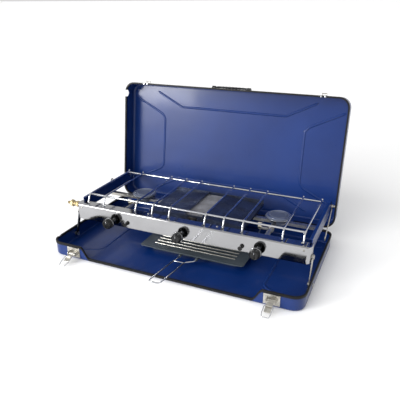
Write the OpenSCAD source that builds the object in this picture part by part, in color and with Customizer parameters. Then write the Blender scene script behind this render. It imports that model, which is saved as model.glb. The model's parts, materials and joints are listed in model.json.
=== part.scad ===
// Folding camp grill: a two-burner gas stove with a centre grill that folds
// away into its own pressed-steel case.
// Frame: +X right, +Y to the back, +Z up.  The origin lies on the surface that
// the case stands on, under the middle of the tray.  The lid is drawn open.

/* [Case] */
// Width of the tray and the lid over their sheet
case_w = 600; // [560:1:640]
// Depth of the tray and the lid over their sheet
case_d = 314; // [300:1:330]
// Height of the tray at its rim
tray_h = 35; // [34:0.5:38]
// Depth of the lid at its rim
lid_h = 45; // [44:0.5:50]
// Corner radius of the case seen from above
corner_r = 25; // [20:1:30]
// Bend radius along the floor edges
edge_r = 5; // [4:0.5:8]
// Thickness of the case sheet
sheet = 1.2; // [1:0.1:1.5]
// How far the open lid leans back past vertical, in degrees
lean = 8.2; // [4:0.1:12]
// Height of the front wall in its dip
dip_z = 8.5; // [8:0.1:9]
// Half length of the low part of the dip
dip_in = 195; // [180:1:200]
// Half distance between the tops of the dip's two slopes
dip_out = 219; // [212:1:219]

/* [Stove body] */
// Half width of the front panel
panel_x = 290; // [280:1:291]
// Lowest edge of the front panel
panel_z0 = 58; // [57:0.5:60]
// Level of the deck behind the panel
panel_z1 = 96; // [94:0.5:98]
// Depth of the deck strip
deck_d = 24; // [22:1:26]
// Lean of the front face, in degrees
panel_lean = 2; // [0:0.5:3]
// Height of the knob axes
knob_z = 68.5; // [68.3:0.1:68.7]
// Knob diameter
knob_d = 26; // [22:0.5:26]
// Distance between neighbouring knobs
knob_pitch = 182.5; // [175:0.5:190]
// Distance of each burner from the middle
burner_x = 182; // [176:1:186]
// Radius of a burner cap
cap_r = 30; // [26:0.5:31]

/* [Pan support] */
// Half width of the wire grid
grid_x = 267.5; // [260:0.5:270]
// Level of the wire grid
grid_z = 117; // [114:0.5:118]
// Diameter of the two long rails
rail_d = 4.6; // [4:0.1:5]
// Diameter of the cross wires
wire_d = 4; // [3.5:0.1:4.5]

/* [Grill pan] */
// Width of the grill pan
pan_w = 262; // [240:1:270]
// Depth of the grill pan from front to back
pan_d = 172; // [150:1:180]
// Height of the grill pan
pan_h = 16; // [12:0.5:16]

/* [Hidden] */
$fn = 48;

// Colours
blue = "#1d3a86";
trim_black = "#1b1c1f";
stainless = "#d9dadb";
zinc = "#b9bcc0";
chrome = "#d4d6d8";
brass = "#b99a54";
alu = "#9ea2a6";
knob_black = "#17171a";
cast_dark = "#3b3c3c";
enamel = "#3e4845";
ceramic = "#e8e4d8";

// Shared gaps and fits
eps = 0.01;
run_fit = 0.06;      // radial play of a pin in its bore
rim_gap = 0.3;       // half of the gap between the two closed rims
trim_w = 4;          // width of the edge trim
trim_t = 5;          // height of the edge trim
trim_cap = 1.5;      // trim above the sheet's edge
trim_out = 1.4;      // how far the trim stands outside the sheet

// Case hinge and the four-bar linkage
hinge_gap = 4;
hinge_y = case_d / 2 + hinge_gap;
hinge_z = tray_h;
pivot_u = 57.6;      // arm pivot on the lid, along the lid from the hinge
pivot_v = 9.2;       // arm pivot on the lid, behind the rim plane
crank_y = pivot_u * sin(lean) + pivot_v * cos(lean);
crank_z = pivot_u * cos(lean) - pivot_v * sin(lean);
pivot_y = hinge_y + crank_y;
pivot_z = hinge_z + crank_z;
foot_y = -71;
foot_z = 15;
leg_top_y = foot_y + crank_y;
leg_top_z = foot_z + crank_z;
pin_r = 3;

// Stations across the case, outwards from the middle
arm_x0 = 285.5;      // inner face of an arm's web
arm_t = 1.5;
stay_x0 = 288.5;
leg_x0 = 291.5;
wall_x = case_w / 2 - sheet;

// Stations along Y
panel_y = -67;       // front face at mid height
deck_y1 = panel_y + deck_d + 1;
burner_y = 81;
manifold_y = panel_y + 14;
manifold_z = 88.5;
knob_mid = -4;
grid_y0 = -36;
grid_y1 = 139;
grid_foot_y = -52;
grid_mid = 2.5;
grill_x0 = -121;
grill_x1 = 125;
grill_y0 = -4;
grill_y1 = 149;
rail_z = 75;         // top of the cross rail and underside of the arms
notch_y = manifold_y - crank_y - pivot_u;
notch_v = manifold_z - crank_z + pivot_v - tray_h;
notch_r = 9;
pan_mid = 15;
pan_y0 = -63;

// ---- shared shapes -------------------------------------------------------

function arc(c, r, a0, a1, n = 6) =
  [for (i = [0:n]) [c[0] + r * cos(a0 + (a1 - a0) * i / n), c[1] + r * sin(a0 + (a1 - a0) * i / n)]];

// Moves its children from the lid's own axes to their place on the open lid.
// There X runs along the hinge, Y back from the rim plane and Z up the lid.
module on_lid() {
  translate([0, hinge_y, hinge_z]) rotate([-lean, 0, 0]) children();
}

// A cylinder along X from x0 to x1.
module rod_x(x0, x1, r, y = 0, z = 0) {
  translate([x0, y, z]) rotate([0, 90, 0]) cylinder(r = r, h = x1 - x0);
}

// A cylinder along Y from y0 to y1.
module rod_y(y0, y1, r, x = 0, z = 0) {
  translate([x, y0, z]) rotate([-90, 0, 0]) cylinder(r = r, h = y1 - y0);
}

// A straight wire between two points of one plane across X, with round ends.
module wire_yz(a, b, r, x) {
  run = norm(b - a);
  tilt = atan2(b[1] - a[1], b[0] - a[0]);
  translate([x, a[0], a[1]]) rotate([tilt, 0, 0]) {
    rotate([-90, 0, 0]) cylinder(r = r, h = run);
    sphere(r = r);
    translate([0, run, 0]) sphere(r = r);
  }
}

// A straight wire between any two points, with a slightly fuller ball at its start.
ball_extra = 0.12;
module wire(a, b, r) {
  d = b - a;
  run = norm(d);
  translate(a) sphere(r = r + ball_extra);
  translate(a) rotate([0, acos(d[2] / run), atan2(d[1], d[0])]) cylinder(r = r, h = run);
}

// Section of a pressed wall, from the floor out to the rim.
module wall_section(r, re, t, h) {
  polygon(concat([[0, 0]], arc([r - re, re], re, -90, 0), [[r, h], [r - t, h]],
                 arc([r - re, re], re - t, 0, -90), [[0, t]]));
}

// A pressed pan, open at the top, with rounded corners and floor edges.
module pressed_pan(w, d, h, r, re, t) {
  x = w / 2 - r;
  y = d / 2 - r;
  for (c = [[1, 1, 0], [-1, 1, 90], [-1, -1, 180], [1, -1, 270]])
    translate([c[0] * x, c[1] * y, 0]) rotate([0, 0, c[2]])
      rotate_extrude(angle = 90) wall_section(r, re, t, h);
  for (s = [[x, 0, 0, 2 * y], [-x, 0, 180, 2 * y], [0, y, 90, 2 * x], [0, -y, 270, 2 * x]])
    translate([s[0], s[1], 0]) rotate([0, 0, s[2]]) translate([0, s[3] / 2, 0])
      rotate([90, 0, 0]) linear_extrude(s[3]) wall_section(r, re, t, h);
  translate([-x, -y, 0]) cube([2 * x, 2 * y, t]);
}

// A rectangle with round corners about the middle.
module round_rect(w, d, r) {
  x = w / 2 - r;
  y = d / 2 - r;
  polygon(concat(arc([x, y], r, 0, 90, 12), arc([-x, y], r, 90, 180, 12),
                 arc([-x, -y], r, 180, 270, 12), arc([x, -y], r, 270, 360, 12)));
}

// ---- case ----------------------------------------------------------------

hinge_x = 170;       // middle of each hinge
hinge_w = 60;        // width of each hinge
leaf_h = 20;
leaf_t = 1.6;
knuckle_r = 2.8;
hinge_pin_r = 1.25;
knuckles = 5;
knuckle_gap = 0.3;
sheet_top = tray_h - rim_gap - trim_cap;

// Height of the tray's front rim at a station along X.
function slope_at(x) = (min(max(abs(x), dip_in), dip_out) - dip_in) / (dip_out - dip_in);
function front_rim(x) = dip_z + (tray_h - rim_gap - dip_z) * (1 - cos(180 * slope_at(x))) / 2;
slope_steps = 10;
slope_x = [for (i = [0:slope_steps]) dip_in + (dip_out - dip_in) * i / slope_steps];
straight_x = case_w / 2 - corner_r;
front_x = concat([-straight_x], [for (i = [slope_steps:-1:0]) -slope_x[i]], slope_x, [straight_x]);

// The gas inlet's notch through the left walls: round, and straight down to the rim.
module tray_notch() {
  rod_x(-case_w / 2 - 4, -case_w / 2 + 8, notch_r, notch_y, tray_h + notch_v);
}

module lid_notch() {
  u = hinge_y - notch_y;
  rod_x(-case_w / 2 - 4, -case_w / 2 + 8, notch_r, notch_v, u);
  translate([-case_w / 2 - 4, -1, u - notch_r]) cube([12, notch_v + 1, 2 * notch_r]);
}

module tray_shell() {
  difference() {
    pressed_pan(case_w, case_d, sheet_top, corner_r, edge_r, sheet);
    // dip in the front wall
    translate([0, -case_d / 2 + sheet + 2, 0]) rotate([90, 0, 0]) linear_extrude(sheet + 4)
      polygon(concat([for (x = front_x) [x, front_rim(x) - trim_cap]],
                     [[straight_x, tray_h + 5], [-straight_x, tray_h + 5]]));
    tray_notch();
    // bores for the leg pins
    for (s = [-1, 1]) rod_x(s * case_w / 2 - 4, s * case_w / 2 + 4, pin_r + run_fit, foot_y, foot_z);
  }
}

module tray() {
  color(blue) tray_shell();
}

// A ring of trim in plan, w wide, around the case outline.
module trim_plan() {
  difference() {
    round_rect(case_w + 2 * trim_out, case_d + 2 * trim_out, corner_r + trim_out);
    round_rect(case_w + 2 * trim_out - 2 * trim_w, case_d + 2 * trim_out - 2 * trim_w,
               corner_r + trim_out - trim_w);
  }
}

// Clears the trim away where the two hinges stand.
module hinge_windows() {
  for (s = [-1, 1]) translate([s * hinge_x - hinge_w / 2 - 1, case_d / 2 - 5]) square([hinge_w + 2, 10]);
}

module tray_trim() {
  color(trim_black) difference() {
    union() {
      translate([0, 0, tray_h - rim_gap - trim_t]) linear_extrude(trim_t) difference() {
        trim_plan();
        translate([-straight_x, -case_d / 2 - 5]) square([2 * straight_x, 12]);
        hinge_windows();
      }
      translate([0, -case_d / 2 - trim_out + trim_w, 0]) rotate([90, 0, 0]) linear_extrude(trim_w)
        polygon(concat([for (x = front_x) [x, front_rim(x)]],
                       [for (i = [len(front_x) - 1:-1:0]) [front_x[i], front_rim(front_x[i]) - trim_t]]));
    }
    tray_shell();
    tray_notch();
  }
}

// Knuckles of one hinge leaf: the even ones or the odd ones.
module knuckle_row(first) {
  pitch = hinge_w / knuckles;
  for (i = [first:2:knuckles - 1])
    rod_x(-hinge_w / 2 + i * pitch + knuckle_gap / 2, -hinge_w / 2 + (i + 1) * pitch - knuckle_gap / 2,
          knuckle_r);
}

// A hinge leaf about the hinge axis, lying below it against a wall at y = -hinge_gap.
module hinge_leaf(first) {
  pitch = hinge_w / knuckles;
  difference() {
    union() {
      translate([-hinge_w / 2, -hinge_gap, -leaf_h]) cube([hinge_w, leaf_t, leaf_h - knuckle_r - 0.7]);
      for (i = [first:2:knuckles - 1])
        translate([-hinge_w / 2 + i * pitch + knuckle_gap / 2, -hinge_gap, -knuckle_r - 1])
          cube([pitch - knuckle_gap, leaf_t, knuckle_r + 1]);
      knuckle_row(first);
    }
    rod_x(-hinge_w, hinge_w, hinge_pin_r + run_fit);
  }
  for (i = [-1, 1]) translate([i * hinge_w / 3, -hinge_gap + leaf_t, -leaf_h / 2 - knuckle_r])
    rotate([-90, 0, 0]) cylinder(r = 2.6, h = 0.9);
}

module tray_hinge_leaves() {
  color(zinc) for (s = [-1, 1]) translate([s * hinge_x, hinge_y, hinge_z]) hinge_leaf(0);
}

module hinge_pins() {
  color(zinc) for (s = [-1, 1]) translate([s * hinge_x, hinge_y, hinge_z])
    rod_x(-hinge_w / 2 - 1.5, hinge_w / 2 + 1.5, hinge_pin_r);
}

module lid_shell() {
  depth = lid_h - rim_gap - trim_cap;
  difference() {
    translate([0, lid_h, hinge_gap + case_d / 2]) rotate([90, 0, 0])
      pressed_pan(case_w, case_d, depth, corner_r, edge_r + 2, sheet);
    lid_notch();
    for (s = [-1, 1]) rod_x(s * case_w / 2 - 4, s * case_w / 2 + 4, pin_r + run_fit, pivot_v, pivot_u);
  }
}

module lid() {
  color(blue) on_lid() lid_shell();
}

module lid_trim() {
  color(trim_black) on_lid() difference() {
    translate([0, rim_gap + trim_t, hinge_gap + case_d / 2]) rotate([90, 0, 0])
      linear_extrude(trim_t) difference() {
        trim_plan();
        rotate(180) hinge_windows();
      }
    lid_shell();
    lid_notch();
  }
}

// The same leaf turned to lie on the lid's lower wall.
module lid_hinge_leaves() {
  color(zinc) on_lid() for (s = [-1, 1]) translate([s * hinge_x, 0, 0])
    rotate([0, 180, 0]) rotate([90, 0, 0]) hinge_leaf(1);
}

// ---- latches and carry handle --------------------------------------------

latch_x = 238;
latch_face = -case_d / 2;
latch_w = 34;
latch_z0 = 5.5;
latch_z1 = 29;
latch_t = 1.5;
lever_y = latch_face - 7.5;
lever_z = 16.5;
lever_droop = 20;
lever_w = 13;
lever_len = 24;
lever_t = 1.4;
lever_pin_r = 1.4;
bail_pivot = 12;     // bail axis along the lever
bail_rise = 2.5;     // bail axis above the lever's middle plane
bail_r = 1;
bail_len = 27;
bail_x = lever_w / 2 + 2.2;

module latch_plate(x) {
  color(zinc) translate([x, 0, 0]) {
    translate([-latch_w / 2, latch_face - latch_t, latch_z0])
      cube([latch_w, latch_t, latch_z1 - latch_z0]);
    for (s = [-1, 1]) difference() {
      union() {
        translate([s * 9.5 - 0.7, lever_y, lever_z - 4.5]) cube([1.4, latch_face - lever_y, 9]);
        rod_x(s * 9.5 - 0.7, s * 9.5 + 0.7, 4.5, lever_y, lever_z);
      }
      rod_x(s * 9.5 - 2, s * 9.5 + 2, lever_pin_r + run_fit, lever_y, lever_z);
    }
    for (s = [-1, 1], t = [-1, 1])
      translate([s * 13.5, latch_face - latch_t, lever_z + t * 7]) rotate([90, 0, 0])
        cylinder(r1 = 2.2, r2 = 1.5, h = 0.9);
  }
}

module latch_plate_left() latch_plate(-latch_x);
module latch_plate_right() latch_plate(latch_x);

module latch_pins() {
  color(zinc) for (s = [-1, 1]) {
    rod_x(s * latch_x - 11.5, s * latch_x + 11.5, lever_pin_r, lever_y, lever_z);
    for (t = [-1, 1]) rod_x(s * latch_x + t * 11 - 0.6, s * latch_x + t * 11 + 0.6, 2.2, lever_y, lever_z);
  }
}

// Axes of a lever: Y runs back along the lever towards its pin.
module on_lever(x) {
  translate([x, lever_y, lever_z]) rotate([lever_droop, 0, 0]) children();
}

module latch_lever(x) {
  color(zinc) on_lever(x) difference() {
    union() {
      translate([-lever_w / 2, -lever_len, -lever_t / 2]) cube([lever_w, lever_len, lever_t]);
      rod_x(-lever_w / 2, lever_w / 2, 2.5);
      rod_x(-lever_w / 2, lever_w / 2, 1.6, -lever_len, -0.6);
      rod_x(-lever_w / 2, lever_w / 2, 2, -bail_pivot, bail_rise);
      translate([-lever_w / 2, -bail_pivot - 1, 0]) cube([lever_w, 2, bail_rise]);
    }
    rod_x(-lever_w, lever_w, lever_pin_r + run_fit);
    rod_x(-lever_w, lever_w, bail_r + run_fit, -bail_pivot, bail_rise);
  }
}

module latch_lever_left() latch_lever(-latch_x);
module latch_lever_right() latch_lever(latch_x);

module latch_bail(x) {
  y0 = -bail_pivot;
  y1 = -bail_pivot - bail_len;
  color(chrome) on_lever(x) translate([0, 0, bail_rise]) {
    rod_x(-bail_x - bail_r, bail_x + bail_r, bail_r, y0);
    for (s = [-1, 1]) rod_y(y1, y0, bail_r - 0.1, s * bail_x);
    rod_x(-bail_x - bail_r, bail_x + bail_r, bail_r, y1);
  }
}

module latch_bail_left() latch_bail(-latch_x);
module latch_bail_right() latch_bail(latch_x);

// A keeper on the lid's far wall, which is its top when the lid is open.
keeper_rise = 6;

module keeper(x) {
  wall_u = hinge_gap + case_d;
  color(zinc) on_lid() translate([x, 0, wall_u]) {
    translate([-7, 6.2, 0]) cube([14, 18, 1.1]);
    rod_x(-6, 6, 1.1, 17, keeper_rise);
    for (s = [-1, 1]) {
      translate([s * 5, 17, 0.5]) cylinder(r = 1, h = keeper_rise - 0.5);
      translate([s * 4, 10.5, 1.1 - eps]) cylinder(r = 1.6, h = 0.8);
    }
  }
}

module keeper_left() keeper(-latch_x);
module keeper_right() keeper(latch_x);

grip_mid = 5;
grip_w = 84;
grip_v = 14;         // handle axis behind the rim plane
grip_lift = 3.4;     // handle axis above the lid's wall
grip_u = hinge_gap + case_d + grip_lift;
grip_reach = 16;     // how far the handle lies behind its axis
grip_bar_r = 2.9;
grip_pin_r = 1.6;
bracket_r = 3.2;
bracket_w = 9;
bracket_x = grip_w / 2 + 5.2;

module handle_brackets() {
  color(trim_black) on_lid() translate([grip_mid, grip_v, 0]) for (s = [-1, 1]) {
    difference() {
      union() {
        translate([s * bracket_x - bracket_w / 2, -6, hinge_gap + case_d])
          cube([bracket_w, 12, grip_lift]);
        rod_x(s * bracket_x - bracket_w / 2, s * bracket_x + bracket_w / 2, bracket_r, 0, grip_u);
      }
      rod_x(s * bracket_x - bracket_w, s * bracket_x + bracket_w, grip_pin_r + run_fit, 0, grip_u);
    }
  }
}

module carry_handle() {
  color(trim_black) on_lid() translate([grip_mid, grip_v, grip_u]) {
    for (s = [-1, 1]) {
      rod_x(s * grip_w / 2 - (s > 0 ? 5 : 8), s * grip_w / 2 + (s > 0 ? 8 : 5), grip_pin_r);
      translate([s * (grip_w / 2 - 3.5) - 3.5, 0, -2.4]) cube([7, grip_reach - 5, 4.8]);
      rod_x(s * (grip_w / 2 - 3.5) - 3.5, s * (grip_w / 2 - 3.5) + 3.5, 2.4);
    }
    translate([0, grip_reach - 5, 0]) rod_x(-grip_w / 2, grip_w / 2, grip_bar_r);
  }
}

// ---- linkage ---------------------------------------------------------------

module arm_pivots() {
  color(zinc) for (s = [-1, 1]) translate([0, pivot_y, pivot_z]) scale([s, 1, 1]) {
    rod_x(arm_x0 - 1, case_w / 2 + 1, pin_r);
    rod_x(arm_x0 - 2, arm_x0 - 0.3, 5.5);
    rod_x(stay_x0 + 3.4, wall_x, pin_r + 0.6);
    rod_x(case_w / 2, case_w / 2 + 1.8, pin_r + 0.6);
  }
}

arm_z0 = rail_z;
arm_z1 = 104.5;
arm_y0 = deck_y1 + 0.5;
arm_y1 = pivot_y + 9;
arm_flange = 5;

// An arm with its flanges turned in; s is the side, -1 left or 1 right.
module arm(s) {
  color(blue) scale([s, 1, 1]) difference() {
    union() {
      translate([arm_x0, 0, 0]) rotate([90, 0, 90]) linear_extrude(arm_t)
        polygon(concat([[arm_y0, arm_z0], [arm_y1 - 9, arm_z0]],
                       arc([arm_y1 - 9, arm_z0 + 9], 9, -90, 0), arc([arm_y1 - 9, arm_z1 - 9], 9, 0, 90),
                       [[arm_y0, arm_z1]]));
      for (z = [arm_z0, arm_z1 - 1.2])
        translate([arm_x0 - arm_flange, arm_y0, z]) cube([arm_flange + eps, arm_y1 - arm_y0 - 24, 1.2]);
      // front foot that is screwed inside the front panel
      translate([arm_x0, leg_top_y - 9, leg_top_z - 7])
        cube([arm_t, arm_y0 - leg_top_y + 10, panel_z1 - 2 - leg_top_z + 7]);
    }
    rod_x(arm_x0 - 8, arm_x0 + 4, pin_r + run_fit, pivot_y, pivot_z);
    rod_x(arm_x0 - 8, arm_x0 + 4, pin_r + run_fit, leg_top_y, leg_top_z);
    rod_x(arm_x0 - 8, arm_x0 + 4, manifold_r + 0.3, manifold_y, manifold_z);
  }
}

module arm_left() arm(-1);
module arm_right() arm(1);

leg_w = 8;
leg_t = 2;

// A flat link between two eyes.
module leg(s) {
  tilt = atan2(crank_z, crank_y);
  run = norm([crank_y, crank_z]);
  color(zinc) scale([s, 1, 1]) translate([leg_x0, foot_y, foot_z]) rotate([tilt, 0, 0]) difference() {
    union() {
      translate([0, 0, -leg_w / 2]) cube([leg_t, run, leg_w]);
      rod_x(0, leg_t, 5.2);
      rod_x(0, leg_t, 5.2, run);
    }
    rod_x(-1, leg_t + 1, pin_r + run_fit);
    rod_x(-1, leg_t + 1, pin_r + 0.25, run);
  }
}

module leg_left() leg(-1);
module leg_right() leg(1);

module leg_pins() {
  color(zinc) for (s = [-1, 1]) translate([0, foot_y, foot_z]) scale([s, 1, 1]) {
    rod_x(leg_x0 - 0.6, case_w / 2 + 1, pin_r);
    rod_x(leg_x0 - 1.9, leg_x0 - 0.4, 5);
    rod_x(leg_x0 + leg_t + 0.4, wall_x, 4.5);
    rod_x(case_w / 2, case_w / 2 + 1.4, 5);
  }
}

// Pins of the legs' upper ends, fixed in the ends of the front panel.
module body_pins() {
  color(zinc) for (s = [-1, 1]) translate([0, leg_top_y, leg_top_z]) scale([s, 1, 1]) {
    rod_x(arm_x0 - 1.5, leg_x0 + leg_t + 0.9, pin_r);
    rod_x(arm_x0 - 2.2, arm_x0, 5);
    rod_x(leg_x0 + leg_t + 0.4, leg_x0 + leg_t + 1.8, 5);
  }
}

stay_len = 88;
stay_r = 1.5;
stay_loop_r = 5;

// A wire stay with an eye on the arm pivot and a hook loop at its free end.
module stay(s, tilt) {
  mid = stay_x0 + stay_r;
  color(zinc) scale([s, 1, 1]) translate([0, pivot_y, pivot_z]) rotate([tilt, 0, 0]) {
    difference() {
      rod_x(stay_x0, stay_x0 + 2 * stay_r, pin_r + 2.5);
      rod_x(stay_x0 - 1, stay_x0 + 4, pin_r + run_fit);
    }
    rod_y(-stay_len + stay_loop_r, -pin_r - 1.2, stay_r - 0.15, mid);
    translate([mid, -stay_len, 0]) rotate([0, 90, 0]) rotate_extrude() translate([stay_loop_r, 0])
      circle(r = stay_r, $fn = 24);
  }
}

stay_tilt_left = -7.5;
stay_tilt_right = 40.5;
module stay_left() stay(-1, stay_tilt_left);
module stay_right() stay(1, stay_tilt_right);

// ---- stove body ------------------------------------------------------------

panel_t = 1;
panel_bend = 3;
panel_corner = 12;

function face_y(z) = panel_y + (z - (panel_z0 + panel_z1) / 2) * tan(panel_lean);

// Side section of the folded sheet, moved in by t.
module panel_section(t) {
  top = panel_z1 - t;
  front = face_y(panel_z1) + t;
  base = face_y(panel_z0) + t;
  bend = panel_bend - t;
  back = deck_y1 + (t > 0 ? 5 : 0);
  low = panel_z0 - (t > 0 ? 5 : 0);
  polygon(concat([[base, low], [front, top - bend]], arc([front + bend, top - bend], bend, 180, 90),
                 [[back, top], [back, low]]));
}

// Plan of the folded sheet, moved in by t, with round front corners.
module panel_outline(t) {
  x = panel_x - t;
  front = face_y(panel_z0) - 3 + t;
  r = panel_corner - t;
  back = deck_y1 + 10;
  polygon(concat(arc([-x + r, front + r + 3], r, 180, 270, 8), arc([x - r, front + r + 3], r, 270, 360, 8),
                 [[x, back], [-x, back]]));
}

module panel_body(t) {
  intersection() {
    translate([-panel_x, 0, 0]) rotate([90, 0, 90]) linear_extrude(2 * panel_x) panel_section(t);
    translate([0, 0, panel_z0 - 10]) linear_extrude(panel_z1 - panel_z0 + 20) panel_outline(t);
  }
}

function knob_at(i) = knob_mid + (i - 1) * knob_pitch;
button_x = [-148, 141];
button_z = 67.5;

// Stations of the ten cross wires, three of thirteen left out over the burners and grill.
wire_index = [0, 1, 3, 4, 5, 7, 8, 9, 11, 12];
function wire_at(i) = grid_mid - grid_x + 2 * grid_x * i / 12;

module front_panel() {
  color(stainless) difference() {
    panel_body(0);
    panel_body(panel_t);
    for (i = [0:2]) rod_y(panel_y - 8, panel_y + 8, 5, knob_at(i), knob_z);
    for (x = button_x) rod_y(panel_y - 8, panel_y + 8, 4.3, x, button_z);
    for (i = wire_index) translate([wire_at(i) - 3, grid_foot_y - 7, panel_z1 - 5]) cube([6, 14, 10]);
    for (s = [-1, 1]) rod_x(s * panel_x - 3, s * panel_x + 3, pin_r + run_fit, leg_top_y, leg_top_z);
    rod_x(-panel_x - 3, -panel_x + 3, 5.5, manifold_y, manifold_z);
  }
}

burner_cup_r = 17;
disc_r = burner_cup_r + 4;
rail_half = 6;       // half width of the cross rail
rail_drop = 7;       // depth of its two flanges
rail_t = 1.5;
cup_front = burner_y - burner_cup_r + 1.5;
tube_r = 5.5;        // mixing tubes
tube_z = 72.5;

// A channel across the stove with a disc under each burner.
module cross_rail() {
  color(zinc) difference() {
    union() {
      translate([-arm_x0, burner_y - rail_half, rail_z - rail_t])
        cube([2 * arm_x0, 2 * rail_half, rail_t]);
      for (y = [burner_y - rail_half, burner_y + rail_half - rail_t])
        translate([-arm_x0, y, rail_z - rail_drop]) cube([2 * arm_x0, rail_t, rail_drop]);
      for (s = [-1, 1]) translate([s * burner_x, burner_y, rail_z - rail_t])
        cylinder(r = disc_r, h = rail_t);
    }
    for (s = [-1, 1]) translate([s * burner_x, burner_y, rail_z - rail_drop - 1])
      cylinder(r = burner_cup_r + 0.2, h = rail_drop + 2);
    // way for the mixing tubes through the front of each disc
    for (i = [0, 2]) rod_y(burner_y - disc_r - 1, cup_front + 0.5, tube_r + 0.5, knob_at(i), tube_z);
  }
}

cup_z = 66;          // underside of a burner's cup
head_z = 80;         // seat of the burner head on the cup
cap_z = 86.5;        // seat of the cap on the head
cup_wall = 2;

// Cup of a burner, standing through the rail on a flange; its tube comes in at tube_x.
module burner_base(x, tube_x) {
  color(alu) translate([x, burner_y, 0]) difference() {
    union() {
      translate([0, 0, cup_z]) cylinder(r = burner_cup_r, h = head_z - cup_z);
      translate([0, 0, rail_z]) cylinder(r = burner_cup_r + 5, h = 2);
    }
    translate([0, 0, cup_z + cup_wall]) cylinder(r = burner_cup_r - cup_wall, h = head_z - cup_z);
    rod_y(-30, 0, tube_r, tube_x - x, tube_z);
  }
}

module burner_base_left() burner_base(-burner_x, knob_at(0));
module burner_base_right() burner_base(burner_x, knob_at(2));

flame_ports = 24;

module burner_head(x) {
  color(alu) translate([x, burner_y, head_z]) difference() {
    union() {
      cylinder(r = 22, h = 2.5);
      translate([0, 0, 2.5]) cylinder(r1 = 24, r2 = cap_r + 1, h = 2);
      translate([0, 0, 4.5]) cylinder(r = cap_r + 1, h = 2);
    }
    translate([0, 0, -1]) cylinder(r = burner_cup_r - 3, h = 10);
    for (i = [0:flame_ports - 1]) rotate([0, 0, 360 * i / flame_ports])
      translate([cap_r - 4, -0.9, 5]) cube([8, 1.8, 3]);
  }
}

module burner_head_left() burner_head(-burner_x);
module burner_head_right() burner_head(burner_x);

module burner_cap(x) {
  color(alu) translate([x, burner_y, cap_z]) {
    cylinder(r = cap_r, h = 2.6);
    translate([0, 0, 2.6]) cylinder(r1 = cap_r, r2 = cap_r - 1.5, h = 0.9);
    translate([0, 0, -5]) cylinder(r = burner_cup_r - 3.5, h = 5);
  }
}

module burner_cap_left() burner_cap(-burner_x);
module burner_cap_right() burner_cap(burner_x);

valve_y0 = panel_y + 4;
valve_y1 = valve_y0 + 20;

// A mixing tube from a valve to the back, with its air collar.
module mixing_tube(x, reach) {
  color(zinc) difference() {
    union() {
      rod_y(valve_y1 + 2, reach, tube_r, x, tube_z);
      rod_y(valve_y1 + 2, valve_y1 + 13, tube_r + 1, x, tube_z);
    }
    translate([x - 2, valve_y1 + 5, tube_z]) cube([4, 5, 20]);
  }
}

module mixing_tube_left() mixing_tube(knob_at(0), cup_front);
module mixing_tube_middle() mixing_tube(knob_at(1), grill_y0 - 2);
module mixing_tube_right() mixing_tube(knob_at(2), cup_front);

manifold_r = 5;

module gas_manifold() {
  color(zinc) {
    rod_x(-panel_x + 2, knob_at(2) + 12, manifold_r, manifold_y, manifold_z);
    translate([knob_at(2) + 12, manifold_y, manifold_z]) sphere(r = manifold_r);
  }
}

module gas_valves() {
  color(brass) for (i = [0:2]) difference() {
    union() {
      translate([knob_at(i) - 8, valve_y0, 63]) cube([16, 20, 15]);
      rod_y(valve_y1 - eps, valve_y1 + 2, 4, knob_at(i), tube_z);
      translate([knob_at(i), manifold_y, 77]) cylinder(r = 4.5, h = manifold_z - 77);
    }
    rod_y(valve_y0 - 1, valve_y0 + 12, 3.5 + run_fit, knob_at(i), knob_z);
    rod_x(knob_at(i) - 20, knob_at(i) + 20, manifold_r, manifold_y, manifold_z);
  }
}

knob_gap = 12;       // panel face to the back of a knob
knob_t = 16;
knob_y1 = panel_y - knob_gap;
knob_y0 = knob_y1 - knob_t;

module spindle(i) {
  color(chrome) {
    rod_y(knob_y1 - 8, valve_y0 + 10, 3.5, knob_at(i), knob_z);
    rod_y(knob_y1, knob_y1 + 5, 4.6, knob_at(i), knob_z);
  }
}

module spindle_left() spindle(0);
module spindle_middle() spindle(1);
module spindle_right() spindle(2);

grip_flutes = 12;

// A fluted knob with a pointer rib on its face.
module knob(i) {
  r = knob_d / 2;
  color(knob_black) difference() {
    union() {
      rod_y(knob_y0 + 3, knob_y1, r - 1, knob_at(i), knob_z);
      rod_y(knob_y0, knob_y0 + 3 + eps, r - 2.5, knob_at(i), knob_z);
      rod_y(knob_y1 - 3.5, knob_y1, r, knob_at(i), knob_z);
    }
    translate([knob_at(i), knob_y0 - 1, knob_z]) rotate([-90, 0, 0])
      for (k = [0:grip_flutes - 1]) rotate([0, 0, 360 * k / grip_flutes])
        translate([r + 0.6, 0, 0]) cylinder(r = 2.4, h = knob_t - 2.5, $fn = 24);
    rod_y(knob_y1 - 8, knob_y1 + 1, 3.5, knob_at(i), knob_z);
    translate([knob_at(i) - 0.8, knob_y0 - 1, knob_z + 2]) cube([1.6, 2, r - 6]);
  }
}

module knob_left() knob(0);
module knob_middle() knob(1);
module knob_right() knob(2);

button_r = 4;

module igniter_bodies() {
  color(knob_black) for (x = button_x) difference() {
    rod_y(panel_y + 2.5, panel_y + 22, 7, x, button_z);
    rod_y(panel_y, panel_y + 14, button_r + 0.1, x, button_z);
  }
}

module igniter_button(x) {
  color(knob_black) {
    rod_y(panel_y - 7, panel_y + 8, button_r, x, button_z);
    rod_y(panel_y - 8.5, panel_y - 7 + eps, button_r + 1, x, button_z);
  }
}

module igniter_button_left() igniter_button(button_x[0]);
module igniter_button_right() igniter_button(button_x[1]);

electrode_x = [-198, 152];
electrode_y = 30;

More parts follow.
